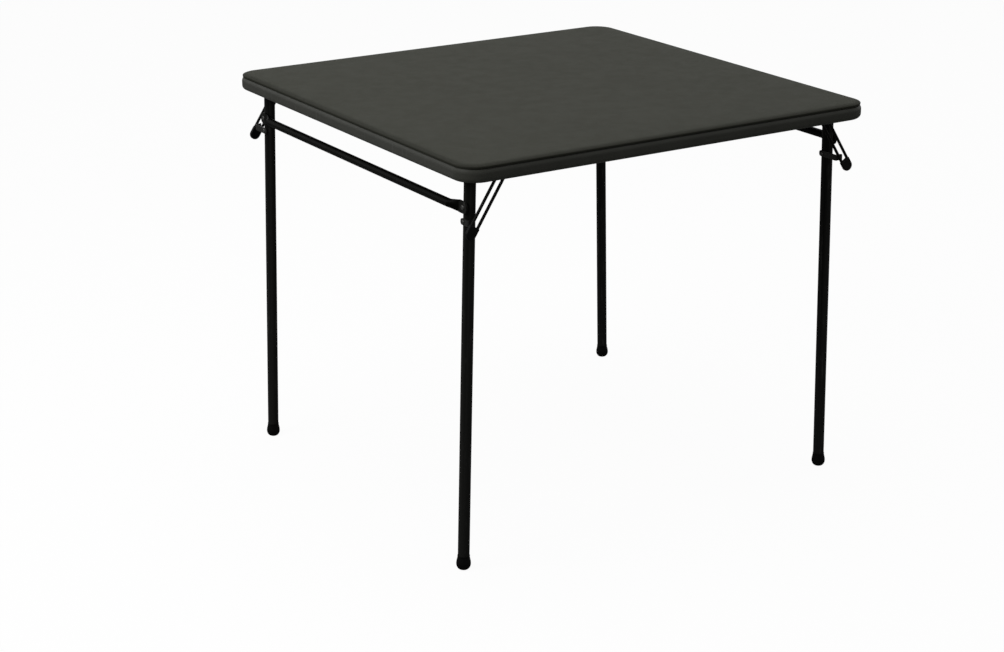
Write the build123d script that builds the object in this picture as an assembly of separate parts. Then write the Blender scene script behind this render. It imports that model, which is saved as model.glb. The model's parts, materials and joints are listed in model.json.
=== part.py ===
from build123d import *
import math
import os

# Folding card table, standing open with its four legs on the floor.
# X runs along the front edge, Y towards the back edge and Z up. The origin is
# on the floor, under the middle of the top. All sizes are in millimetres.

# Overall sizes
top_width = 866.1
top_depth = 853.4
table_height = 736.6
corner_radius = 42.0
overrun = 5.0

# Padded top: a vinyl cover over a thin foam pad on a hardboard panel
cover_thickness = 0.8
hem_thickness = 0.6
hem_width = 14.0
edge_run = 15.0
edge_drop = 4.6
edge_tuck = 4.0
pad_thickness = 2.6
panel_thickness = 3.0
panel_inset = 5.0
panel_edge_radius = 1.0

# Rolled steel rail that runs under the edge of the top
rail_height = 24.3
rail_width = 19.0
rail_steel = 1.4
rail_shoulder_run = 5.0
rail_shoulder_drop = 8.5
rail_lower_radius = 8.3
rail_lip = 4.5

# Screws that hold the panel down to the rails
screw_head_diameter = 5.6
screw_head_height = 1.6
screw_shank_diameter = 2.9
screw_grip = 1.8
screw_inset = 16.0
screws_per_rail = 3

# Legs: steel tubes with their hinge pins just under the panel
leg_diameter = 20.6
leg_wall = 1.2
pivot_depth = 21.8
pivot_inset = 38.0
pair_inset = 61.0
pair_offset = 11.7
splay_angle = 1.4
leg_top_reach = 6.5
leg_top_round = 0.6

# Rubber foot caps
foot_diameter = 24.4
foot_height = 30.0
foot_lip_diameter = 22.6
foot_tread_diameter = 15.0
foot_floor = 5.0
foot_lip_height = 2.4
foot_bulge_height = 12.0

# Hinge pins, their sleeves inside the legs, and the stop pins
hinge_pin_diameter = 6.0
hinge_fit = 0.06
hinge_sleeve_diameter = 8.4
pin_head_diameter = 9.6
pin_head_height = 1.8
head_round_share = 0.7
stop_pin_diameter = 4.0
stop_pin_clearance = 0.2
stop_pin_drop = 6.8

# Corner plates, joggled down under the rails' top flanges
plate_thickness = 1.2
plate_border = 7.0
plate_fit = 0.3
plate_x_reach = 106.0
plate_y_reach = 92.0
plate_cut = 14.0

# Hinge brackets: one folded steel channel around each leg's upper end
bracket_steel = 1.4
leg_side_clearance = 0.5
bracket_outer_reach = 16.4
bracket_inner_reach = 27.0
cheek_outer_reach = 16.0
cheek_inner_reach = 12.5
cheek_drop = 9.0
cheek_round = 5.0

# Rivets under the brackets
rivet_head_diameter = 5.0
rivet_head_height = 1.4
rivet_shank_diameter = 3.0
rivet_edge = 3.6
rivet_spread = 11.0

# Crossbars: tubes with flattened ends on the outer faces of the legs
bar_diameter = 15.0
bar_wall = 1.2
bar_distance = 60.0
bar_flat_thickness = 3.0
bar_flat_height = 21.0
bar_flat_reach = 10.5
bar_tip_share = 0.8
bar_edge_share = 0.45
bar_taper_start = 13.0
bar_taper_length = 22.0
bar_rivet_head_diameter = 8.6
bar_rivet_head_height = 1.8
bar_rivet_shank_diameter = 4.6

# Cranked straps with a tongue that points into the slot of the brace loop. The
# right pair folds first. Its straps are on the legs' inner faces, so that they
# end above the left pair's legs. The left pair's are on the outer faces, and end
# below the right pair's legs.
strap_distance = 85.0
strap_width = 11.0
strap_thickness = 2.0
strap_bend_radius = 0.8
strap_end_round = 4.5
strap_back_reach = 8.0
strap_tongue = 2.5
strap_tongue_round = 1.5
strap_gap = 0.3
strap_rivet_head_diameter = 7.0
strap_rivet_head_height = 1.6

# Brace loops: closed wire loops, turning on a shouldered pin in the recess
brace_inset = 28.0
brace_pivot_run = 53.0
brace_pivot_rise = 0.8
brace_wire = 5.4
brace_pitch = 13.8
brace_length = 134.6
brace_fit = 0.08
brace_side_clearance = 0.35
brace_pin_diameter = 5.0
brace_pin_head_diameter = 8.4
brace_pin_head_height = 1.3
ear_steel = 1.4
ear_radius = 6.5
ear_base_reach = 12.5

# Moulded grips on the lower ends of the loops
grip_length = 24.0
grip_wall = 0.6
grip_edge_share = 0.55

os.makedirs("parts", exist_ok=True)

# Heights and places that follow from the sizes above
cover_inner_top = table_height - cover_thickness
panel_high = cover_inner_top - pad_thickness
panel_low = panel_high - panel_thickness
cover_low = panel_low - hem_thickness
edge_low = table_height - edge_drop
rail_high = cover_low
rail_low = rail_high - rail_height
pivot_height = table_height - pivot_depth
pivot_x = top_width / 2 - pivot_inset
outer_leg_y = top_depth / 2 - pair_inset + pair_offset
inner_leg_y = top_depth / 2 - pair_inset - pair_offset
brace_y = top_depth / 2 - brace_inset
leg_radius = leg_diameter / 2
leg_length = pivot_height / math.cos(math.radians(splay_angle))
plate_high = panel_low
plate_low = plate_high - plate_thickness
base_low = plate_low - bracket_steel
base_rise = base_low - pivot_height
cheek_inside = leg_radius + leg_side_clearance
cheek_outside = cheek_inside + bracket_steel
brace_height = pivot_height + brace_pivot_rise
brace_x = -pivot_x + brace_pivot_run
ear_inside = brace_wire / 2 + brace_side_clearance
ear_outside = ear_inside + ear_steel
grip_half = brace_wire / 2 + grip_wall
brace_eye = brace_pitch / 2 - brace_wire / 2

# The open brace leans so that its middle line passes through the strap's tongue
tongue_x = -strap_distance * math.sin(math.radians(splay_angle))
tongue_z = -strap_distance * math.cos(math.radians(splay_angle))
brace_angle = math.degrees(
    math.atan2(brace_pivot_run - tongue_x, brace_pivot_rise - tongue_z)
)


def outline(inset):
    """The top's plan, drawn in from its edge by an inset."""
    radius = max(corner_radius - inset, rail_steel)
    return RectangleRounded(top_width - 2 * inset, top_depth - 2 * inset, radius)


def slab(shape, low, high):
    """A flat outline, as thick as the space between two heights."""
    return Pos(0, 0, low) * extrude(shape, amount=high - low)


def ring_run(section, length):
    """One straight side of the rim, from a section drawn as inset and height."""
    return Pos(0, length / 2, 0) * extrude(Plane.XZ * section, amount=length)


def ring_corner(section):
    """A rounded corner of the rim, turned about the corner's centre."""
    placed = Pos(-corner_radius, 0, 0) * (Plane.XZ * section)
    return revolve(placed, axis=Axis.Z, revolution_arc=90)


def corner_side(section, length):
    """A side of the rim with a whole corner at each end, on the left edge."""
    straight = length - 2 * corner_radius
    body = ring_run(section, straight)
    front = Pos(corner_radius, -straight / 2, 0) * ring_corner(section)
    return body + front + mirror(front, about=Plane.XZ)


def four_sides(section):
    """Left, right, front and back sides of the rim from one section."""
    left = Pos(-top_width / 2, 0, 0) * ring_run(section, top_depth - 2 * corner_radius)
    front = Rot(0, 0, 90) * (Pos(-top_depth / 2, 0, 0) * corner_side(section, top_width))
    return {
        "left": left,
        "right": Rot(0, 0, 180) * left,
        "front": front,
        "back": Rot(0, 0, 180) * front,
    }


def edge_section(inset, drop_low, crown):
    """The rolled edge of the padded top, tucked under, as inset and height."""
    low = (inset + edge_tuck, drop_low)
    curve = EllipticalCenterArc(
        (edge_run, edge_low), edge_run - inset, crown - edge_low, 90, arc_size=90
    )
    tuck = EllipticalCenterArc(
        (inset + edge_tuck, edge_low), edge_tuck, edge_low - drop_low, 180, arc_size=90
    )
    floor = Line(low, (edge_run, drop_low))
    inner = Line((edge_run, drop_low), (edge_run, crown))
    return make_face([curve, tuck, floor, inner])


def padded_solid(inset, low, crown):
    """A solid top with a rolled edge, drawn in by an inset."""
    body = slab(outline(edge_run), low, crown)
    for piece in four_sides(edge_section(inset, low, crown)).values():
        body += piece
    return body


def top_panel():
    """Hardboard panel under the padding."""
    body = slab(outline(panel_inset), panel_low, panel_high)
    rim = body.faces().sort_by(Axis.Z)[-1].edges()
    return fillet(rim, panel_edge_radius)


def top_pad(panel):
    """Thin foam that covers the panel and rolls over its edge."""
    return padded_solid(cover_thickness, panel_low, cover_inner_top) - panel


def top_cover():
    """Vinyl cover, turned under the panel's edge as a hem."""
    body = padded_solid(0, cover_low, table_height)
    body -= padded_solid(cover_thickness, panel_low, cover_inner_top)
    return body - slab(outline(hem_width), cover_low - overrun, panel_low)


def rail_shape(shift):
    """The rail's outer shape, drawn in all round by a shift."""
    high = rail_high - shift
    low = rail_low + shift
    shoulder_low = rail_high - rail_shoulder_drop
    turn_high = rail_low + rail_lower_radius
    shoulder = EllipticalCenterArc(
        (rail_shoulder_run, shoulder_low),
        rail_shoulder_run - shift,
        rail_shoulder_drop - shift,
        90,
        arc_size=90,
    )
    face = Line((shift, shoulder_low), (shift, turn_high))
    turn = CenterArc((rail_lower_radius, turn_high), rail_lower_radius - shift, 180, 90)
    bottom = Line((rail_lower_radius, low), (rail_width, low))
    inner = Line((rail_width, low), (rail_width, high))
    top = Line((rail_width, high), (rail_shoulder_run, high))
    return make_face([shoulder, face, turn, bottom, inner, top])


def rail_section():
    """An open steel channel, rounded outside, with a lip on its lower flange."""
    lip = Rectangle(rail_steel, rail_lip)
    lip = Pos(rail_width - rail_steel / 2, rail_low + rail_lip / 2) * lip
    return rail_shape(0) - rail_shape(rail_steel) + lip


def screw_places(length):
    """Evenly spaced places along one side."""
    step = (length - 2 * plate_x_reach) / (screws_per_rail + 1)
    middle = (screws_per_rail - 1) / 2
    return [(i - middle) * step for i in range(screws_per_rail)]


def frame_screw():
    """A pan-headed screw that points up, with its head under the flange."""
    head = extrude(Circle(screw_head_diameter / 2), amount=screw_head_height)
    head = fillet(head.edges().group_by(Axis.Z)[0], screw_head_height / 2)
    length = panel_low + screw_grip - (rail_high - rail_steel)
    shank = extrude(Circle(screw_shank_diameter / 2), amount=screw_head_height + length)
    return Pos(0, 0, rail_high - rail_steel - screw_head_height) * (head + shank)


def frame_screws():
    """All screws between the rails and the panel, as separate solids."""
    x = top_width / 2 - screw_inset
    y = top_depth / 2 - screw_inset
    places = [(s * x, p) for p in screw_places(top_depth) for s in (-1, 1)]
    places += [(p, s * y) for p in screw_places(top_width) for s in (-1, 1)]
    return [Pos(px, py, 0) * frame_screw() for px, py in places]


def corner_mask():
    """Plan of the front left corner plate, with its inner corner cut off."""
    left = -top_width / 2
    front = -top_depth / 2
    right = left + plate_x_reach
    back = front + plate_y_reach
    points = [
        (left, front),
        (right, front),
        (right, back - plate_cut),
        (right - plate_cut, back),
        (left, back),
    ]
    return make_face(Polyline(*points, close=True))


def corner_plate():
    """Pressed plate under the panel, joggled under the rails at the front left."""
    inner = rail_width + plate_fit
    step = inner + plate_thickness
    lip_high = rail_high - rail_steel
    lip_low = lip_high - plate_thickness
    mask = corner_mask()
    body = slab(mask & outline(inner), plate_low, plate_high)
    body += slab(mask & (outline(inner) - outline(step)), lip_low, plate_high)
    border = outline(rail_width - plate_border) - outline(step)
    return body + slab(mask & border, lip_low, lip_high)


def hinge_bracket():
    """Folded channel around a leg's hinge, with its origin on the hinge axis."""
    base = Box(
        bracket_outer_reach + bracket_inner_reach,
        2 * cheek_outside,
        bracket_steel,
    )
    base_x = (bracket_inner_reach - bracket_outer_reach) / 2
    body = Pos(base_x, 0, base_rise + bracket_steel / 2) * base
    height = base_rise + bracket_steel + cheek_drop
    width = cheek_outer_reach + cheek_inner_reach
    cheek = Pos(width / 2, height / 2) * Rectangle(width, height)
    low = cheek.vertices().group_by(Axis.Y)[0]
    cheek = fillet(low, cheek_round)
    face = Plane.XZ * (Pos(-cheek_outer_reach, -cheek_drop) * cheek)
    sheet = extrude(face, amount=bracket_steel)
    body += Pos(0, cheek_outside, 0) * sheet
    body += Pos(0, -cheek_inside, 0) * sheet
    through = 2 * cheek_outside + overrun
    body -= Rot(90, 0, 0) * Cylinder(hinge_pin_diameter / 2, through)
    stop = Rot(90, 0, 0) * Cylinder(stop_pin_diameter / 2, through)
    return body - Pos(stop_x(), 0, -stop_pin_drop) * stop


def stop_x():
    """How far out the stop pin lies, so that it just holds the open leg."""
    angle = math.radians(splay_angle)
    face = leg_radius / math.cos(angle) + stop_pin_drop * math.tan(angle)
    return -(face + stop_pin_clearance + stop_pin_diameter / 2)


def headed_pin(diameter, length, head_diameter, head_height):
    """A pin along Y with a domed head at each end."""
    shank = Cylinder(diameter / 2, length)
    cap = Pos(0, 0, length / 2) * extrude(Circle(head_diameter / 2), amount=head_height)
    cap = fillet(cap.edges().group_by(Axis.Z)[-1], head_height * head_round_share)
    return Rot(90, 0, 0) * (shank + cap + mirror(cap, about=Plane.XY))


def hinge_pin():
    """Rivet that the leg turns on."""
    return headed_pin(
        hinge_pin_diameter, 2 * cheek_outside, pin_head_diameter, pin_head_height
    )


def stop_pin():
    """Plain pin across the bracket that the open leg rests against."""
    pin = Rot(90, 0, 0) * Cylinder(stop_pin_diameter / 2, 2 * cheek_outside)
    return Pos(stop_x(), 0, -stop_pin_drop) * pin


def bracket_rivet():
    """A rivet with its head down, from the bracket's base up into the plate."""
    head = extrude(Circle(rivet_head_diameter / 2), amount=-rivet_head_height)
    head = fillet(head.edges().group_by(Axis.Z)[0], rivet_head_height * head_round_share)
    return head + extrude(Circle(rivet_shank_diameter / 2), amount=bracket_steel + plate_thickness)


def corner_rivets(hinge_y, loop_y):
    """Rivets of one left corner: three in the hinge bracket, two in the brace's."""
    inner = -pivot_x + bracket_inner_reach - rivet_edge
    outer = -pivot_x - bracket_outer_reach + rivet_edge
    reach = ear_base_reach - rivet_edge
    places = [
        (inner, hinge_y - rivet_spread / 2),
        (inner, hinge_y + rivet_spread / 2),
        (outer, hinge_y),
        (brace_x - reach, loop_y),
        (brace_x + reach, loop_y),
    ]
    return [Pos(x, y, base_low) * bracket_rivet() for x, y in places]


def brace_bracket():
    """Folded channel that carries a brace loop, with its origin on the pin."""
    base_height = base_low - brace_height
    base = Box(2 * ear_base_reach, 2 * ear_outside, bracket_steel)
    body = Pos(0, 0, base_height + bracket_steel / 2) * base
    ear = Circle(ear_radius) + Pos(0, base_height / 2) * Rectangle(
        2 * ear_radius, base_height
    )
    sheet = extrude(Plane.XZ * ear, amount=ear_steel)
    body += Pos(0, ear_outside, 0) * sheet
    body += Pos(0, -ear_inside, 0) * sheet
    through = 2 * ear_outside + overrun
    return body - Rot(90, 0, 0) * Cylinder(brace_pin_diameter / 2, through)


def brace_pin():
    """Shouldered pin through the two ears, with the loop's eye on its shoulder."""
    pin = headed_pin(
        brace_pin_diameter, 2 * ear_outside, brace_pin_head_diameter, brace_pin_head_height
    )
    shoulder = Cylinder(brace_eye - brace_fit, 2 * ear_inside)
    return pin + Rot(90, 0, 0) * shoulder


def leg(strap_side):
    """Leg tube hanging down from its hinge axis, outer face towards -X."""
    length = leg_length - foot_floor + leg_top_reach
    tube = Pos(0, 0, leg_top_reach - length / 2) * Cylinder(leg_radius, length)
    tube = fillet(tube.edges().group_by(Axis.Z)[-1], leg_top_round)
    bore = Cylinder(leg_radius - leg_wall, 2 * (length + leg_top_reach))
    tube -= bore
    tube -= Rot(90, 0, 0) * Cylinder(hinge_sleeve_diameter / 2, 2 * leg_diameter)
    hole = Rot(0, 90, 0) * Cylinder(bar_rivet_shank_diameter / 2, leg_radius)
    tube -= Pos(-leg_radius, 0, -bar_distance) * hole
    return tube - Pos(strap_side * leg_radius, 0, -strap_distance) * hole


def hinge_sleeve():
    """Sleeve across the leg that turns on the hinge pin."""
    sleeve = Cylinder(hinge_sleeve_diameter / 2, leg_diameter)
    sleeve -= Cylinder(hinge_pin_diameter / 2 + hinge_fit, 2 * leg_diameter)
    return Rot(90, 0, 0) * sleeve


def foot_cap():
    """Bulbous rubber cap over the leg's lower end, flat where it meets the floor."""
    low = -leg_length - overrun
    lip = -leg_length + foot_height
    lip_radius = foot_lip_diameter / 2
    bulge = (foot_diameter / 2, -leg_length + foot_bulge_height)
    tread = foot_tread_diameter / 2
    swell = TangentArc(bulge, (lip_radius, lip - foot_lip_height), tangent=(0, 1))
    heel = EllipticalCenterArc(
        (tread, -leg_length + foot_bulge_height),
        foot_diameter / 2 - tread,
        foot_bulge_height,
        270,
        arc_size=90,
    )
    edges = [
        Line((0, lip), (lip_radius, lip)),
        Line((lip_radius, lip), (lip_radius, lip - foot_lip_height)),
        swell,
        heel,
        Line((tread, -leg_length), (tread, low)),
        Line((tread, low), (0, low)),
        Line((0, low), (0, lip)),
    ]
    body = revolve(Plane.XZ * make_face(edges), axis=Axis.Z)
    socket_low = -leg_length + foot_floor
    socket = Cylinder(leg_radius, foot_height + overrun)
    return body - Pos(0, 0, socket_low + (foot_height + overrun) / 2) * socket


def flat_end():
    """Flattened end of a crossbar, its round tip towards -Y."""
    length = bar_flat_reach + bar_taper_start
    middle = (bar_taper_start - bar_flat_reach) / 2
    plate = Pos(middle, 0) * Rectangle(length, bar_flat_height)
    tip = plate.vertices().group_by(Axis.X)[0]
    plate = fillet(tip, bar_flat_height / 2 * bar_tip_share)
    return extrude(Plane.YZ * plate, amount=-bar_flat_thickness)


def crossbar_end():
    """One end of a crossbar, on its leg's outer face, with the bar towards +Y."""
    start = Plane((-bar_flat_thickness / 2, bar_taper_start, 0), x_dir=(1, 0, 0), z_dir=(0, 1, 0))
    end = Plane(
        (-bar_diameter / 2, bar_taper_start + bar_taper_length, 0),
        x_dir=(1, 0, 0),
        z_dir=(0, 1, 0),
    )
    edge = bar_flat_thickness * bar_edge_share
    first = RectangleRounded(bar_flat_thickness, bar_flat_height, edge)
    taper = loft([start * first, end * Circle(bar_diameter / 2)])
    return flat_end() + taper


def place_on_leg(piece, y):
    """A piece drawn on an upright leg, moved to a splayed left leg."""
    return Pos(-pivot_x, y, pivot_height) * (Rot(0, splay_angle, 0) * piece)


def crossbar():
    """Left crossbar, from the front leg's outer face to the back leg's."""
    front_y = -outer_leg_y
    back_y = inner_leg_y
    lead = bar_taper_start + bar_taper_length
    end = crossbar_end()
    front = Pos(0, front_y, 0) * end
    back = Pos(0, back_y, 0) * mirror(end, about=Plane.XZ)
    length = back_y - front_y - 2 * lead
    tube = Cylinder(bar_diameter / 2, length) - Cylinder(bar_diameter / 2 - bar_wall, length)
    tube = Pos(-bar_diameter / 2, (front_y + back_y) / 2, 0) * (Rot(90, 0, 0) * tube)
    body = front + tube + back
    hole = Rot(0, 90, 0) * Cylinder(bar_rivet_shank_diameter / 2, leg_diameter)
    for y in (front_y, back_y):
        body -= Pos(0, y, 0) * hole
    body = Pos(-leg_radius, 0, -bar_distance) * body
    return place_on_leg(body, 0)


def face_rivet(sheet, head_diameter, head_height):
    """A rivet through the leg's outer wall, its domed head towards -X."""
    head = extrude(Circle(head_diameter / 2), amount=head_height)
    head = fillet(head.edges().group_by(Axis.Z)[-1], head_height * head_round_share)
    shank = extrude(Circle(bar_rivet_shank_diameter / 2), amount=-(sheet + leg_wall))
    return Pos(-leg_radius - sheet, 0, 0) * (Rot(0, -90, 0) * (head + shank))


def strap_section(reach):
    """Plan of a strap: along a face of the leg, in to its middle, and out."""
    half = strap_thickness / 2
    near = leg_radius
    far = leg_radius + strap_thickness
    wall = strap_tongue - reach
    back = wall + strap_thickness
    points = [
        (near, strap_back_reach),
        (far, strap_back_reach),
        (far, wall),
        (half, wall),
        (half, -reach),
        (-half, -reach),
        (-half, back),
        (near, back),
    ]
    section = make_face(Polyline(*points, close=True))
    for corner in ((half, wall), (near, back)):
        nearest = section.vertices().sort_by_distance(corner)[0]
        section = fillet(nearest, strap_bend_radius)
    for corner in ((far, wall), (-half, back)):
        nearest = section.vertices().sort_by_distance(corner)[0]
        section = fillet(nearest, strap_bend_radius + strap_thickness)
    return section


def brace_strap(leg_y, strap_side):
    """Cranked strap on one face of a leg, reaching towards -Y to the brace loop."""
    reach = brace_y - leg_y - grip_half - strap_gap
    body = extrude(strap_section(reach), amount=strap_width / 2, both=True)
    across = body.edges().filter_by(Axis.X).group_by(Axis.Y)
    body = fillet(across[0], strap_tongue_round)
    across = body.edges().filter_by(Axis.X).group_by(Axis.Y)
    body = fillet(across[-1], strap_end_round)
    hole = Rot(0, 90, 0) * Cylinder(bar_rivet_shank_diameter / 2, 2 * leg_diameter)
    body = Pos(0, 0, -strap_distance) * (body - hole)
    return body if strap_side > 0 else mirror(body, about=Plane.YZ)


def brace_loop():
    """Closed wire loop hanging from the middle of its upper eye."""
    half = brace_pitch / 2
    run = brace_length - brace_pitch
    path = Plane.XZ * Wire(
        [
            Line((half, 0), (half, -run)),
            CenterArc((0, -run), half, 0, -180),
            Line((-half, -run), (-half, 0)),
            CenterArc((0, 0), half, 180, -180),
        ]
    )
    start = Plane((half, 0, 0), x_dir=(1, 0, 0), z_dir=(0, 0, -1))
    return sweep(start * Circle(brace_wire / 2), path=path)


def brace_grip(loop):
    """Moulded grip that fills and covers the loop's lower end."""
    outer = brace_pitch / 2 + brace_wire / 2 + grip_wall
    run = brace_length - brace_pitch
    low = -run - outer
    high = low + grip_length
    shape = Pos(0, -run) * Circle(outer)
    shape += Pos(0, (high - run) / 2) * Rectangle(2 * outer, high + run)
    body = extrude(Plane.XZ * shape, amount=grip_half, both=True)
    return fillet(body.edges(), grip_half * grip_edge_share) - loop


def place_brace(piece, y):
    """A piece drawn upright from the brace pin, moved to a left brace."""
    return Pos(brace_x, y, brace_height) * (Rot(0, brace_angle, 0) * piece)


def save(name, solids):
    """Writes one node from a solid or a list of solids."""
    shape = Compound(children=list(solids)) if isinstance(solids, list) else solids
    export_step(shape, f"parts/{name}.step")


def turned(piece):
    """The same piece, half a turn about the upright through its origin."""
    return Rot(0, 0, 180) * piece


# The two ends of the left pair, and the corners where their turned copies go,
# half a turn about the table's middle. Each end has the sign of its Y, the
# distance of its leg and its two corners.
ends = [
    (-1, outer_leg_y, "front_left", "back_right"),
    (1, inner_leg_y, "back_left", "front_right"),
]


def save_top():
    """The padded top and the frame of rails under it."""
    panel = top_panel()
    screws = frame_screws()
    save("top_cover", top_cover())
    save("top_pad", top_pad(panel))
    for screw in screws:
        panel -= screw
    save("top_panel", panel)
    for name, rail in four_sides(rail_section()).items():
        for screw in screws:
            rail -= screw
        save(f"rail_{name}", rail)
    save("frame_screws", screws)


def save_corners():
    """Corner plates, brackets and fixed pins, in all four corners."""
    hinge_pins = []
    stop_pins = []
    brace_pins = []
    rivets = []
    for sign, leg_y, left_name, right_name in ends:
        hinge_place = Pos(-pivot_x, sign * leg_y, pivot_height)
        brace_place = Pos(brace_x, sign * brace_y, brace_height)
        group = corner_rivets(sign * leg_y, sign * brace_y)
        plate = corner_plate()
        if sign > 0:
            plate = mirror(plate, about=Plane.XZ)
        hinge = hinge_place * hinge_bracket()
        brace = brace_place * brace_bracket()
        for rivet in group:
            plate -= rivet
            hinge -= rivet
            brace -= rivet
        pieces = {"corner_plate": plate, "hinge_bracket": hinge, "brace_bracket": brace}
        for node, piece in pieces.items():
            save(f"{node}_{left_name}", piece)
            save(f"{node}_{right_name}", turned(piece))
        hinge_pins.append(hinge_place * hinge_pin())
        stop_pins.append(hinge_place * stop_pin())
        brace_pins.append(brace_place * brace_pin())
        rivets += group
    groups = {
        "hinge_pins": hinge_pins,
        "stop_pins": stop_pins,
        "brace_pins": brace_pins,
        "bracket_rivets": rivets,
    }
    for node, solids in groups.items():
        save(node, solids + [turned(solid) for solid in solids])


def save_leg(sign, leg_y, strap_side, name, place):
    """One leg with its cap and strap, put in its corner. Returns its strap's rivet."""
    y = sign * leg_y
    floor = Pos(0, 0, -leg_length / 2) * Box(2 * top_width, 2 * top_depth, leg_length)
    strap = brace_strap(leg_y, strap_side)
    if sign > 0:
        strap = mirror(strap, about=Plane.XZ)
    save(f"leg_{name}", place * place_on_leg(leg(strap_side), y))
    save(f"foot_cap_{name}", place * (place_on_leg(foot_cap(), y) - floor))
    save(f"brace_strap_{name}", place * place_on_leg(strap, y))
    rivet = face_rivet(strap_thickness, strap_rivet_head_diameter, strap_rivet_head_height)
    if strap_side > 0:
        rivet = turned(rivet)
    return place * place_on_leg(Pos(0, 0, -strap_distance) * rivet, y)


def save_legs():
    """Both leg pairs, with their crossbars, straps, rivets and foot caps."""
    left_place = Rot(0, 0, 0)
    right_place = Rot(0, 0, 180)
    rivet = face_rivet(bar_flat_thickness, bar_rivet_head_diameter, bar_rivet_head_height)
    rivet = Pos(0, 0, -bar_distance) * rivet
    sleeves = []
    bar_rivets = []
    strap_rivets = {"left": [], "right": []}
    for sign, leg_y, left_name, right_name in ends:
        left_rivet = save_leg(sign, leg_y, -1, left_name, left_place)
        right_rivet = save_leg(sign, leg_y, 1, right_name, right_place)
        strap_rivets["left"].append(left_rivet)
        strap_rivets["right"].append(right_rivet)
        sleeves.append(place_on_leg(hinge_sleeve(), sign * leg_y))
        bar_rivets.append(place_on_leg(rivet, sign * leg_y))
    groups = {"crossbar": [crossbar()], "hinge_sleeves": sleeves, "crossbar_rivets": bar_rivets}
    for node, solids in groups.items():
        save(f"{node}_left", solids)
        save(f"{node}_right", [turned(solid) for solid in solids])
    for side, solids in strap_rivets.items():
        save(f"strap_rivets_{side}", solids)


def save_braces():
    """The four brace loops and their grips."""
    loop = brace_loop()
    grip = brace_grip(loop)
    for sign, _, left_name, right_name in ends:
        pieces = {
            "brace_loop": place_brace(loop, sign * brace_y),
            "brace_grip": place_brace(grip, sign * brace_y),
        }
        for node, piece in pieces.items():
            save(f"{node}_{left_name}", piece)
            save(f"{node}_{right_name}", turned(piece))


save_top()
save_corners()
save_legs()
save_braces()
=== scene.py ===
import json
import math

import bmesh
import bpy
from mathutils import Matrix, Vector


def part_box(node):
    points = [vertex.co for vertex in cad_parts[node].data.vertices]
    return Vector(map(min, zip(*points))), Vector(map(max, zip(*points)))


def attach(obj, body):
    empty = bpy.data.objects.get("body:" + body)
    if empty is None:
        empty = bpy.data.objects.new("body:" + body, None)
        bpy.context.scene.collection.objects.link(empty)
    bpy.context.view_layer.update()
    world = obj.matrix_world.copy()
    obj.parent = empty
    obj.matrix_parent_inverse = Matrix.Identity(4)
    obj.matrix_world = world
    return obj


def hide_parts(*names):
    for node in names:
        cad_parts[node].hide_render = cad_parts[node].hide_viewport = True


# Folding card table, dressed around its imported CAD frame. Lengths are in metres.

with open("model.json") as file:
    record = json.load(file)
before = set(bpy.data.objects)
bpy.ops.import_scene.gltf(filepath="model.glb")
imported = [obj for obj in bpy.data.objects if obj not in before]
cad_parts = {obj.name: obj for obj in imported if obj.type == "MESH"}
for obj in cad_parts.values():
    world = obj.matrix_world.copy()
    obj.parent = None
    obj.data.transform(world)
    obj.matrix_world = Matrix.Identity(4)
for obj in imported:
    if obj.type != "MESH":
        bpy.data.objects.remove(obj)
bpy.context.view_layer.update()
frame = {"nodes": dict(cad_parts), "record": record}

MM = 0.001
QUARTER_TURN = math.radians(90)
CORNERS = ("front_left", "back_left", "front_right", "back_right")

# Camera, fitted to the photograph. The sensor is in millimetres
PHOTO_WIDTH = 1004
PHOTO_HEIGHT = 652
FOCAL_PIXELS = 2157.9
CENTRE_Y = 280.0
SENSOR_WIDTH = 36.0
CAMERA_PLACE = Vector((-2.19646, -3.29762, 1.64714))
CAMERA_TARGET = Vector((-0.09192, 0.0, 0.36950))
CAMERA_REACH = 100.0

# Padded top: the hem under it, its tucked and rolled edge, and its crown
CORNER_RADIUS = 42 * MM
LEAST_RADIUS = 1.5 * MM
HEM_WIDTH = 14 * MM
HEM_MIDDLE = 8 * MM
HEM_LIFT = 0.05 * MM
HEM_INNER_LIFT = 0.55 * MM
EDGE_INSET = 1.6 * MM
EDGE_RUN = 20 * MM
EDGE_DROP = 3.6 * MM
EDGE_TUCK = 0.8 * MM
CROWN_RISE = 0.4 * MM
CROWN_RUN = 26 * MM
CROWN_MARGIN = 6 * MM
CROWN_CROWDING = 1.7
CORNER_STEPS = 14
SIDE_STEPS = 30
TUCK_STEPS = 8
ROLL_STEPS = 16
CROWN_STEPS = 26

# Foot caps, from the lip at the leg down to the hollow in the tread
SPLAY = math.radians(1.4)
LEG_RADIUS = 10.3 * MM
LEG_CLEARANCE = 0.05 * MM
FOOT_HEIGHT = 26.5 * MM
FOOT_RADIUS = 12.9 * MM
FOOT_LIP_RADIUS = 11.0 * MM
FOOT_LIP_DEPTH = 1.3 * MM
FOOT_LIP_ROUND_WIDTH = 0.35 * MM
FOOT_LIP_ROUND_DEPTH = 0.4 * MM
FOOT_NECK_STEP = 0.15 * MM
FOOT_NECK_DEPTH = 1.8 * MM
FOOT_SWELL_HEIGHT = 24 * MM
FOOT_SWELL_POWER = 1.35
FOOT_BULGE_HEIGHT = 10.8 * MM
FOOT_TREAD_RADIUS = 4.5 * MM
FOOT_HOLLOW_RIM = 3.4 * MM
FOOT_HOLLOW_RADIUS = 3.1 * MM
FOOT_HOLLOW_FLAT = 1.6 * MM
FOOT_HOLLOW_CENTRE = 0.3 * MM
FOOT_HOLLOW_WALL = 0.8 * MM
FOOT_HOLLOW_DEPTH = 0.9 * MM
FOOT_PROFILE_STEPS = 12
FOOT_STEPS = 48

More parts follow.
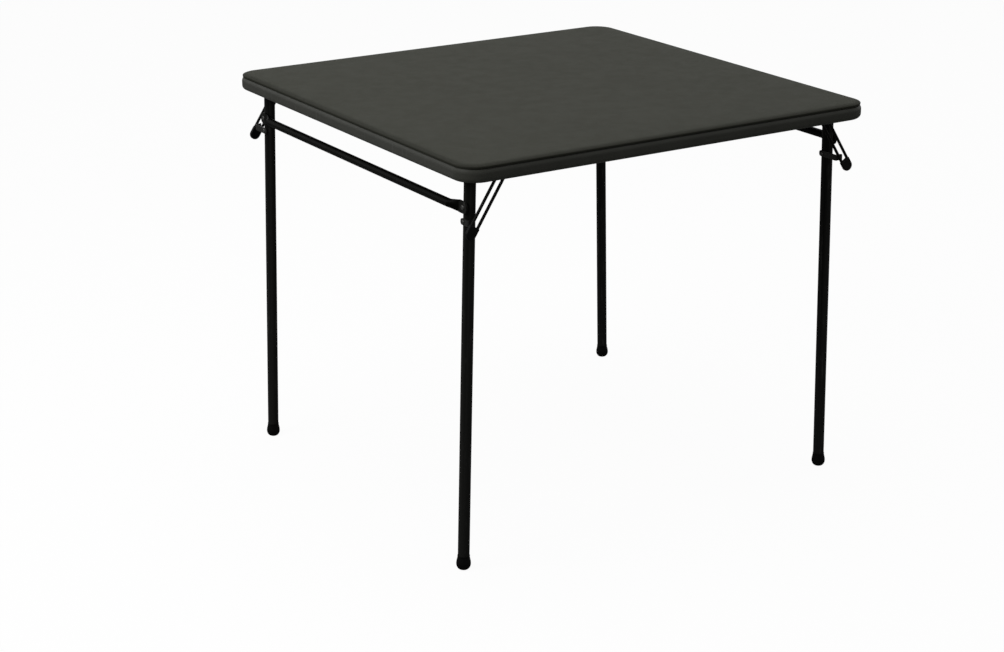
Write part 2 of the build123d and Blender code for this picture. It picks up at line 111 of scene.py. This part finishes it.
# Colours, in linear light
VINYL_DARK = (0.0357, 0.0366, 0.0288)
VINYL_LIGHT = (0.0377, 0.0386, 0.0304)
VINYL_SPECK = (0.075, 0.077, 0.066)
# Painted shade: the vinyl's colour where it rolls over the edge and turns away from the light
VINYL_ROLL_SHADE = (0.0265, 0.0272, 0.0216)
RAIL_DARK = (0.039, 0.040, 0.034)
RAIL_LIGHT = (0.048, 0.049, 0.042)
LEG_DARK = (0.0009, 0.0010, 0.0007)
LEG_LIGHT = (0.0018, 0.0019, 0.0013)
BRACKET_DARK = (0.0030, 0.0030, 0.0026)
BRACKET_LIGHT = (0.0046, 0.0046, 0.0040)
# Painted highlight: the strap enamel is set lighter than the leg enamel to stand in for the glint at the
# strap ends
STRAP_HIGHLIGHT_DARK = (0.0050, 0.0050, 0.0045)
STRAP_HIGHLIGHT_LIGHT = (0.0075, 0.0075, 0.0068)
ENAMEL_WORN = (0.10, 0.10, 0.095)
RUBBER_DARK = (0.0016, 0.0016, 0.0015)
RUBBER_LIGHT = (0.0030, 0.0030, 0.0028)
FLOOR_DUST = (0.030, 0.029, 0.026)
PLASTIC_DARK = (0.0020, 0.0020, 0.0020)
PLASTIC_LIGHT = (0.0034, 0.0034, 0.0033)
STEEL_DARK = (0.045, 0.045, 0.043)
STEEL_LIGHT = (0.100, 0.099, 0.094)
BOARD_DARK = (0.075, 0.045, 0.026)
BOARD_LIGHT = (0.165, 0.105, 0.063)
BOARD_CLOUD = (0.11, 0.068, 0.040)
FLOOR_GREY = (0.26, 0.26, 0.26, 1)
WHITE = (1, 1, 1, 1)

# Spans of values that the materials work between
NOISE_SPAN = (0.3, 0.7)
# Normal heights over which the painted shade on the rolled edge fades in
ROLL_SHADE_SPAN = (0.990, 0.9999)
EDGE_SPAN = (0.53, 0.60)
WEAR_SPAN = (0.14, 0.35)
DUST_HEIGHT = 12 * MM

# Studio: a pale floor, a white surround and two soft lamps
FLOOR_REACH = 30.0
FLOOR_GLOW = 1.14
FLOOR_GLOW_SHARE = 0.84
SURROUND_LIGHT = 0.32
SURROUND_SEEN = 1.0
LAMP_TARGET = Vector((0, 0, 0.55))
LAMPS = (
    {"name": "key", "place": Vector((-2.6, 0.0, 2.4)), "size": 1.6, "power": 40.0},
    {"name": "overhead", "place": Vector((0.0, 0.3, 3.2)), "size": 2.2, "power": 30.0},
)


class Shader:
    """A node material, built up one node at a time."""

    def __init__(self, name):
        self.material = bpy.data.materials.new(name)
        self.material.use_nodes = True
        self.tree = self.material.node_tree
        self.surface = self.tree.nodes["Principled BSDF"]
        self.place = self.tree.nodes.new("ShaderNodeTexCoord").outputs["Object"]

    def add(self, kind, **values):
        """A node with its settings and unlinked inputs given by name."""
        node = self.tree.nodes.new(kind)
        for key, value in values.items():
            if hasattr(node, key):
                setattr(node, key, value)
            else:
                node.inputs[key.replace("_", " ").title()].default_value = value
        return node

    def join(self, source, target):
        """Links an output to an input."""
        self.tree.links.new(source, target)

    def set(self, name, value):
        """Gives an input of the surface a constant value."""
        self.surface.inputs[name].default_value = value

    def colour(self, source):
        """Drives the surface's colour."""
        self.join(source, self.surface.inputs["Base Color"])

    def roughness(self, source, low, high):
        """Drives the surface's roughness by a noise, between two values."""
        self.join(self.spread(source, NOISE_SPAN, (low, high)), self.surface.inputs["Roughness"])

    def noise(self, scale, detail=2.0, stretch=(1, 1, 1)):
        """Noise over the object's own coordinates, from 0 to 1."""
        mapping = self.add("ShaderNodeMapping")
        mapping.inputs["Scale"].default_value = stretch
        self.join(self.place, mapping.inputs["Vector"])
        node = self.add("ShaderNodeTexNoise", scale=scale, detail=detail)
        self.join(mapping.outputs["Vector"], node.inputs["Vector"])
        return node.outputs["Fac"]

    def cells(self, scale):
        """Distance to the edges of irregular cells, as in a leather grain."""
        node = self.add("ShaderNodeTexVoronoi", feature="DISTANCE_TO_EDGE", scale=scale)
        self.join(self.place, node.inputs["Vector"])
        return node.outputs["Distance"]

    def height(self, source):
        """The Z part of a vector."""
        node = self.add("ShaderNodeSeparateXYZ")
        self.join(source, node.inputs["Vector"])
        return node.outputs["Z"]

    def steepness(self, span):
        """High where the surface leans, over a span of its normal's heights."""
        node = self.add("ShaderNodeNewGeometry")
        return self.spread(self.height(node.outputs["Normal"]), span, (1, 0))

    def edges(self, span):
        """High on worn convex edges."""
        node = self.add("ShaderNodeNewGeometry")
        return self.spread(node.outputs["Pointiness"], span)

    def spread(self, source, span, result=(0, 1)):
        """Maps a span of a value's range to another range."""
        (low, high), (to_low, to_high) = span, result
        node = self.add("ShaderNodeMapRange", from_min=low, from_max=high, to_min=to_low, to_max=to_high)
        self.join(source, node.inputs["Value"])
        return node.outputs["Result"]

    def blend(self, factor, first, second):
        """Mixes two colours, each a tuple or another node's output."""
        node = self.add("ShaderNodeMix", data_type="RGBA")
        self.join(factor, node.inputs["Factor"])
        first_colour, second_colour = node.inputs[6], node.inputs[7]
        for socket, value in ((first_colour, first), (second_colour, second)):
            if isinstance(value, tuple):
                socket.default_value = (*value, 1.0)
            else:
                self.join(value, socket)
        return node.outputs[2]

    def multiply(self, first, second):
        """The product of two values."""
        node = self.add("ShaderNodeMath", operation="MULTIPLY")
        self.join(first, node.inputs[0])
        self.join(second, node.inputs[1])
        return node.outputs[0]

    def bump(self, layers):
        """Bump from several (height, distance, strength) layers."""
        normal = None
        for height, distance, strength in layers:
            node = self.add("ShaderNodeBump", distance=distance, strength=strength)
            self.join(height, node.inputs["Height"])
            if normal is not None:
                self.join(normal, node.inputs["Normal"])
            normal = node.outputs["Normal"]
        self.join(normal, self.surface.inputs["Normal"])


def vinyl():
    """Charcoal vinyl with a fine even grain, with painted shade darkening it where it rolls over the
    edge.
    """
    shader = Shader("vinyl_cover")
    cloud = shader.spread(shader.noise(scale=5.0, detail=3.0), NOISE_SPAN)
    specks = shader.spread(shader.noise(scale=900.0), (0.35, 0.75), (0, 0.12))
    base = shader.blend(cloud, VINYL_DARK, VINYL_LIGHT)
    base = shader.blend(specks, base, VINYL_SPECK)
    # Painted shade: the vinyl darkens where its normal leans over the rolled edge
    shader.colour(shader.blend(shader.steepness(ROLL_SHADE_SPAN), base, VINYL_ROLL_SHADE))
    shader.roughness(shader.noise(scale=40.0, detail=3.0), 0.54, 0.60)
    shader.set("Specular IOR Level", 0.02)
    swells = shader.noise(scale=26.0)
    grain = shader.spread(shader.cells(scale=1150.0), (0.0, 0.25))
    shader.bump([(swells, 1.0 * MM, 0.04), (grain, 0.08 * MM, 0.35)])
    return shader.material


def enamel(name, dark, light, roughness, gloss):
    """Satin enamel on steel, with a faint orange peel and lighter worn edges."""
    shader = Shader(name)
    cloud = shader.spread(shader.noise(scale=14.0, detail=4.0), NOISE_SPAN)
    scuffs = shader.spread(shader.noise(scale=130.0, detail=5.0, stretch=(1, 1, 0.15)), (0.60, 0.72))
    worn = shader.multiply(shader.edges(EDGE_SPAN), shader.spread(scuffs, (0, 1), WEAR_SPAN))
    shader.colour(shader.blend(worn, shader.blend(cloud, dark, light), ENAMEL_WORN))
    shader.roughness(shader.noise(scale=60.0, detail=4.0), roughness - 0.05, roughness + 0.07)
    shader.set("Specular IOR Level", gloss)
    peel = shader.noise(scale=700.0)
    shader.bump([(peel, 0.05 * MM, 0.25), (scuffs, 0.03 * MM, 0.15)])
    return shader.material


def rubber():
    """Matt black rubber with a little floor dust low down."""
    shader = Shader("foot_rubber")
    low_down = shader.spread(shader.height(shader.place), (0.0, DUST_HEIGHT), (0.5, 0))
    patches = shader.spread(shader.noise(scale=160.0, detail=4.0), (0.4, 0.7))
    base = shader.blend(shader.noise(scale=300.0, detail=3.0), RUBBER_DARK, RUBBER_LIGHT)
    shader.colour(shader.blend(shader.multiply(low_down, patches), base, FLOOR_DUST))
    shader.roughness(shader.noise(scale=90.0, detail=3.0), 0.55, 0.72)
    shader.set("Specular IOR Level", 0.05)
    shader.bump([(shader.noise(scale=1400.0), 0.06 * MM, 0.3)])
    return shader.material


def moulded():
    """Black moulded plastic with a fine matt spark."""
    shader = Shader("grip_plastic")
    shader.colour(shader.blend(shader.noise(scale=220.0, detail=3.0), PLASTIC_DARK, PLASTIC_LIGHT))
    shader.roughness(shader.noise(scale=70.0, detail=3.0), 0.42, 0.55)
    shader.set("Specular IOR Level", 0.08)
    shader.bump([(shader.noise(scale=1800.0), 0.05 * MM, 0.35)])
    return shader.material


def plated():
    """Dark plated steel of the pins, rivets and screws."""
    shader = Shader("fastener_steel")
    shader.colour(shader.blend(shader.noise(scale=260.0, detail=4.0), STEEL_DARK, STEEL_LIGHT))
    shader.roughness(shader.noise(scale=400.0, detail=3.0), 0.30, 0.50)
    shader.set("Metallic", 0.7)
    shader.bump([(shader.noise(scale=900.0, detail=3.0), 0.04 * MM, 0.25)])
    return shader.material


def hardboard():
    """Brown hardboard with pressed fibres, under the top."""
    shader = Shader("hardboard")
    fibres = shader.noise(scale=420.0, detail=6.0, stretch=(1, 0.35, 1))
    cloud = shader.spread(shader.noise(scale=9.0, detail=4.0), (0.35, 0.7), (0, 0.4))
    base = shader.blend(shader.spread(fibres, (0.35, 0.7)), BOARD_DARK, BOARD_LIGHT)
    shader.colour(shader.blend(cloud, base, BOARD_CLOUD))
    shader.roughness(fibres, 0.62, 0.80)
    threads = [
        shader.spread(shader.noise(scale=1500.0, detail=1.0, stretch=stretch), NOISE_SPAN)
        for stretch in ((1, 0.05, 1), (0.05, 1, 1))
    ]
    shader.bump([(shader.multiply(*threads), 0.15 * MM, 0.5), (fibres, 0.08 * MM, 0.4)])
    return shader.material


def link(name, mesh, body):
    """A new piece from a mesh, smooth, riding on a CAD body."""
    piece = bpy.data.objects.new(name, mesh)
    bpy.context.scene.collection.objects.link(piece)
    for polygon in mesh.polygons:
        polygon.use_smooth = True
    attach(piece, body)
    return piece


def skin(rings):
    """A mesh of quads between rings of points, closed by a face at the last."""
    shell = bmesh.new()
    loops = [[shell.verts.new(point) for point in ring] for ring in rings]
    for first, second in zip(loops, loops[1:]):
        count = len(first)
        for i in range(count):
            j = (i + 1) % count
            shell.faces.new((first[i], first[j], second[j], second[i]))
    shell.faces.new(loops[-1])
    bmesh.ops.recalc_face_normals(shell, faces=shell.faces)
    mesh = bpy.data.meshes.new("skin")
    shell.to_mesh(mesh)
    shell.free()
    return mesh


def outline(inset, height, centre, half):
    """Points round the top's plan, drawn in by an inset, all at one height."""
    radius = max(CORNER_RADIUS - inset, LEAST_RADIUS)
    reach_x = half.x - inset - radius
    reach_y = half.y - inset - radius
    arcs = []
    for turn, (side_x, side_y) in enumerate(((1, 1), (-1, 1), (-1, -1), (1, -1))):
        middle = Vector((centre.x + side_x * reach_x, centre.y + side_y * reach_y, height))
        arc = []
        for i in range(CORNER_STEPS + 1):
            angle = QUARTER_TURN * (turn + i / CORNER_STEPS)
            arc.append(middle + radius * Vector((math.cos(angle), math.sin(angle), 0)))
        arcs.append(arc)
    points = []
    for arc, after in zip(arcs, arcs[1:] + arcs[:1]):
        points += arc
        points += [arc[-1].lerp(after[0], i / SIDE_STEPS) for i in range(1, SIDE_STEPS)]
    return points


def edge_profile(floor, edge, level):
    """Inset and height pairs of the cover's edge: its tuck and then its roll."""
    points = []
    for i in range(TUCK_STEPS + 1):
        angle = QUARTER_TURN * i / TUCK_STEPS
        inset = EDGE_INSET + EDGE_TUCK * (1 - math.sin(angle))
        points.append((inset, edge - (edge - floor) * math.cos(angle)))
    for i in range(1, ROLL_STEPS + 1):
        angle = QUARTER_TURN * i / ROLL_STEPS
        inset = EDGE_INSET + (EDGE_RUN - EDGE_INSET) * (1 - math.cos(angle))
        points.append((inset, edge + (level - edge) * math.sin(angle)))
    return points


def crown_profile(inner, level):
    """Inset and height pairs of the cover's low crown, from its roll inwards."""
    points = []
    for i in range(1, CROWN_STEPS + 1):
        inset = EDGE_RUN + (inner - EDGE_RUN) * (i / CROWN_STEPS) ** CROWN_CROWDING
        rise = CROWN_RISE * (1 - math.exp(-(inset - EDGE_RUN) / CROWN_RUN))
        points.append((inset, level + rise))
    return points


def padded_top():
    """The vinyl cover over its pad: a hem, a tucked and rolled edge and a low crown."""
    low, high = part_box("top_cover")
    centre = (low + high) / 2
    half = (high - low) / 2
    floor = low.z + HEM_LIFT
    level = high.z - CROWN_RISE
    profile = [(HEM_WIDTH, low.z + HEM_INNER_LIFT), (HEM_WIDTH, floor), (HEM_MIDDLE, floor)]
    profile += edge_profile(floor, high.z - EDGE_DROP, level)
    profile += crown_profile(min(half.x, half.y) - CROWN_MARGIN, level)
    rings = [outline(inset, height, centre, half) for inset, height in profile]
    piece = link("padded_top", skin(rings), "top")
    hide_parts("top_cover", "top_pad")
    return piece


def foot_profile():
    """Radius and height pairs of a foot cap, from its lip down to its tread."""
    lip = FOOT_LIP_RADIUS
    neck = lip - FOOT_NECK_STEP
    points = [
        (LEG_RADIUS + LEG_CLEARANCE, FOOT_HEIGHT),
        (lip - FOOT_LIP_ROUND_WIDTH, FOOT_HEIGHT),
        (lip, FOOT_HEIGHT - FOOT_LIP_ROUND_DEPTH),
        (lip, FOOT_HEIGHT - FOOT_LIP_DEPTH),
        (neck, FOOT_HEIGHT - FOOT_NECK_DEPTH),
    ]
    for i in range(FOOT_PROFILE_STEPS + 1):
        share = i / FOOT_PROFILE_STEPS
        swell = math.sin(QUARTER_TURN * share) ** FOOT_SWELL_POWER
        height = FOOT_SWELL_HEIGHT - (FOOT_SWELL_HEIGHT - FOOT_BULGE_HEIGHT) * share
        points.append((neck + (FOOT_RADIUS - neck) * swell, height))
    for i in range(1, FOOT_PROFILE_STEPS + 1):
        angle = QUARTER_TURN * i / FOOT_PROFILE_STEPS
        radius = FOOT_TREAD_RADIUS + (FOOT_RADIUS - FOOT_TREAD_RADIUS) * math.cos(angle)
        points.append((radius, FOOT_BULGE_HEIGHT * (1 - math.sin(angle))))
    points += [
        (FOOT_HOLLOW_RIM, 0.0),
        (FOOT_HOLLOW_RADIUS, FOOT_HOLLOW_WALL),
        (FOOT_HOLLOW_FLAT, FOOT_HOLLOW_DEPTH),
        (FOOT_HOLLOW_CENTRE, FOOT_HOLLOW_DEPTH),
    ]
    return points


def body_of_corner(corner):
    """The CAD body that carries the leg in a corner."""
    return "left_legs" if corner.endswith("left") else "right_legs"


def foot_cap(corner):
    """A bulbous rubber cap, turned round the leg's leaning axis."""
    side = -1 if corner.endswith("left") else 1
    lean = Matrix.Rotation(-side * SPLAY, 4, "Y")
    mounts = {mount["name"]: mount["pos_m"] for mount in frame["record"]["mounts"]}
    pivot = Vector(mounts[f"foot_{corner}"])
    rings = []
    for radius, level in foot_profile():
        ring = []
        for i in range(FOOT_STEPS):
            angle = 2 * math.pi * i / FOOT_STEPS
            point = Vector((radius * math.cos(angle), radius * math.sin(angle), level))
            moved = pivot + lean @ point
            moved.z = max(moved.z, 0.0)
            ring.append(moved)
        rings.append(ring)
    piece = link(f"foot_{corner}", skin(rings), body_of_corner(corner))
    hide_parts(f"foot_cap_{corner}")
    return piece


def dress_frame(materials):
    """Gives each CAD node the material of the first prefix that its name starts with."""
    for name, node in frame["nodes"].items():
        for prefix, material in materials:
            if name.startswith(prefix):
                node.data.materials.clear()
                node.data.materials.append(material)
                break


def floor_paint():
    """Plain grey that glows white for the camera alone, and still shows a shadow."""
    shader = Shader("floor")
    shader.set("Base Color", FLOOR_GREY)
    shader.set("Roughness", 0.9)
    shader.set("Specular IOR Level", 0.0)
    glow = shader.add("ShaderNodeEmission")
    glow.inputs["Color"].default_value = WHITE
    glow.inputs["Strength"].default_value = FLOOR_GLOW
    path = shader.add("ShaderNodeLightPath")
    share = shader.spread(path.outputs["Is Camera Ray"], (0, 1), (0, FLOOR_GLOW_SHARE))
    mix = shader.add("ShaderNodeMixShader")
    shader.join(share, mix.inputs["Fac"])
    shader.join(shader.surface.outputs["BSDF"], mix.inputs[1])
    shader.join(glow.outputs["Emission"], mix.inputs[2])
    shader.join(mix.outputs["Shader"], shader.tree.nodes["Material Output"].inputs["Surface"])
    return shader.material


def pale_floor():
    """The floor that the table stands on."""
    reach = FLOOR_REACH
    corners = [(-reach, -reach, 0), (reach, -reach, 0), (reach, reach, 0), (-reach, reach, 0)]
    mesh = bpy.data.meshes.new("floor")
    mesh.from_pydata(corners, [], [(0, 1, 2, 3)])
    mesh.materials.append(floor_paint())
    floor = bpy.data.objects.new("floor", mesh)
    bpy.context.scene.collection.objects.link(floor)


def surround():
    """A white surround: dim as a light, bright to the camera and in reflections."""
    world = bpy.data.worlds.new("surround")
    world.use_nodes = True
    bpy.context.scene.world = world
    tree = world.node_tree
    path = tree.nodes.new("ShaderNodeLightPath")
    seen = tree.nodes.new("ShaderNodeMath")
    seen.operation = "MAXIMUM"
    tree.links.new(path.outputs["Is Camera Ray"], seen.inputs[0])
    tree.links.new(path.outputs["Is Glossy Ray"], seen.inputs[1])
    strength = tree.nodes.new("ShaderNodeMapRange")
    strength.inputs["To Min"].default_value = SURROUND_LIGHT
    strength.inputs["To Max"].default_value = SURROUND_SEEN
    tree.links.new(seen.outputs[0], strength.inputs["Value"])
    background = tree.nodes["Background"]
    background.inputs["Color"].default_value = WHITE
    tree.links.new(strength.outputs["Result"], background.inputs["Strength"])


def aim(piece, place, target):
    """Puts a lamp or camera in its place in the scene, facing a target."""
    piece.location = place
    piece.rotation_euler = (target - place).to_track_quat("-Z", "Y").to_euler()
    bpy.context.scene.collection.objects.link(piece)


def lamp(name, place, size, power):
    """A soft square lamp that faces the table."""
    data = bpy.data.lights.new(name, "AREA")
    data.size = size
    data.energy = power
    aim(bpy.data.objects.new(name, data), place, LAMP_TARGET)


def camera():
    """The photograph's camera."""
    data = bpy.data.cameras.new("camera")
    data.sensor_width = SENSOR_WIDTH
    data.lens = FOCAL_PIXELS / PHOTO_WIDTH * SENSOR_WIDTH
    data.shift_y = (CENTRE_Y - PHOTO_HEIGHT / 2) / PHOTO_WIDTH
    data.clip_end = CAMERA_REACH
    eye = bpy.data.objects.new("camera", data)
    aim(eye, CAMERA_PLACE, CAMERA_TARGET)
    bpy.context.scene.camera = eye


def main():
    """Builds the whole scene."""
    cover = vinyl()
    rail = enamel("rail_paint", RAIL_DARK, RAIL_LIGHT, roughness=0.45, gloss=0.10)
    legs = enamel("leg_paint", LEG_DARK, LEG_LIGHT, roughness=0.38, gloss=0.025)
    brackets = enamel("bracket_paint", BRACKET_DARK, BRACKET_LIGHT, roughness=0.42, gloss=0.06)
    # The straps' lighter enamel is a painted highlight
    highlit_straps = enamel("strap_highlight_paint", STRAP_HIGHLIGHT_DARK, STRAP_HIGHLIGHT_LIGHT, roughness=0.40, gloss=0.15)
    fasteners = plated()
    feet = rubber()
    dress_frame(
        [
            ("rail_", rail),
            ("leg_", legs),
            ("crossbar_rivets", fasteners),
            ("crossbar_", legs),
            ("brace_grip", moulded()),
            ("brace_loop", brackets),
            ("brace_strap", highlit_straps),
            ("brace_bracket", brackets),
            ("brace_pins", fasteners),
            ("bracket_rivets", fasteners),
            ("hinge_bracket", brackets),
            ("hinge_", fasteners),
            ("corner_plate", brackets),
            ("stop_pins", fasteners),
            ("strap_rivets", fasteners),
            ("frame_screws", fasteners),
            ("top_panel", hardboard()),
            ("foot_cap", feet),
            ("top_", cover),
        ]
    )
    padded_top().data.materials.append(cover)
    for corner in CORNERS:
        foot_cap(corner).data.materials.append(feet)
    pale_floor()
    surround()
    for values in LAMPS:
        lamp(**values)
    camera()
    bpy.context.scene.view_settings.view_transform = "Standard"


main()
